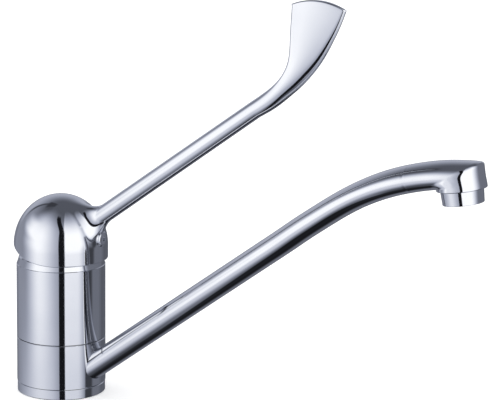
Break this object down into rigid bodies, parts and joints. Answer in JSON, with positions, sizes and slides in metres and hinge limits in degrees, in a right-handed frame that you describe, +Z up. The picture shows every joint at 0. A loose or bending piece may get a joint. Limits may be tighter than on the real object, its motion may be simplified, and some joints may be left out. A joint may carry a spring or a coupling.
{
  "type": "kitchen mixer tap",
  "caption": "Chrome single-lever deck mixer with a swivelling oval spout, a long lever ending in an upright blade and an aerator outlet.",
  "frame": {"origin": "centre of the base ring's underside, on the deck", "axes": "+Z up along the body, +X along the spout and the lever in their straight-ahead closed rest pose, +Y to the left of the spout"},
  "size_m": [0.2981, 0.0554, 0.2453],
  "materials": {
    "base_chrome": "polished",
    "body_chrome": "polished",
    "collar_chrome": "polished",
    "spout_chrome": "polished",
    "aerator_chrome": "polished",
    "cover_chrome": "polished",
    "handle_chrome": "polished",
    "plug_chrome": "polished",
    "seal_rubber": "matte",
    "glide_plastic": "matte",
    "insert_plastic": "matte",
    "screen_steel": "satin",
    "cartridge_plastic": "matte",
    "housing_plastic": "matte",
    "ceramic": "polished",
    "pin_steel": "satin",
    "stem_brass": "satin",
    "nut_brass": "satin",
    "limit_plastic": "matte"
  },
  "bodies": {
    "base": {"base_ring": "base_chrome", "base_gasket": "seal_rubber", "glide_ring_lower": "glide_plastic", "mixer_body": "body_chrome", "o_ring_lower": "seal_rubber", "o_ring_upper": "seal_rubber", "glide_ring_upper": "glide_plastic", "cartridge_base": "cartridge_plastic", "inlet_seals": "seal_rubber", "outlet_seal": "seal_rubber", "fixed_ceramic_disc": "ceramic", "cartridge_housing": "housing_plastic", "cartridge_nut": "nut_brass", "cover_ring": "cover_chrome", "hot_limit_ring": "limit_plastic"},
    "spout": {"spout_collar": "collar_chrome", "spout_arm": "spout_chrome", "aerator_housing": "aerator_chrome", "aerator_gasket": "seal_rubber", "aerator_insert": "insert_plastic", "aerator_screen": "screen_steel"},
    "cartridge_rotor": {"rotor": "cartridge_plastic", "pivot_pin": "pin_steel"},
    "disc_slider": {"moving_ceramic_disc": "ceramic", "disc_carrier": "cartridge_plastic"},
    "lever": {"stem": "stem_brass", "lever_handle": "handle_chrome", "grub_screw": "pin_steel", "indicator_plug": "plug_chrome"}
  },
  "joints": [
    {"name": "spout_swivel", "type": "hinge", "parent": "base", "child": "spout", "pos_m": [0, 0, 0.0193], "axis": [0, 0, 1], "continuous": true},
    {"name": "lever_temperature", "type": "hinge", "parent": "base", "child": "cartridge_rotor", "pos_m": [0, 0, 0.0805], "axis": [0, 0, 1], "range_deg": [-50, 50]},
    {"name": "lever_flow", "type": "hinge", "parent": "cartridge_rotor", "child": "lever", "pos_m": [0, 0, 0.0805], "axis": [0, -1, 0], "range_deg": [0, 25]},
    {"name": "disc_slide", "type": "slide", "parent": "cartridge_rotor", "child": "disc_slider", "axis": [1, 0, 0], "range_m": [0, 0.0051]}
  ],
  "couplings": [
    {"joint": "disc_slide", "follows": "lever_flow", "m_per_rad": 0.01162}
  ]
}
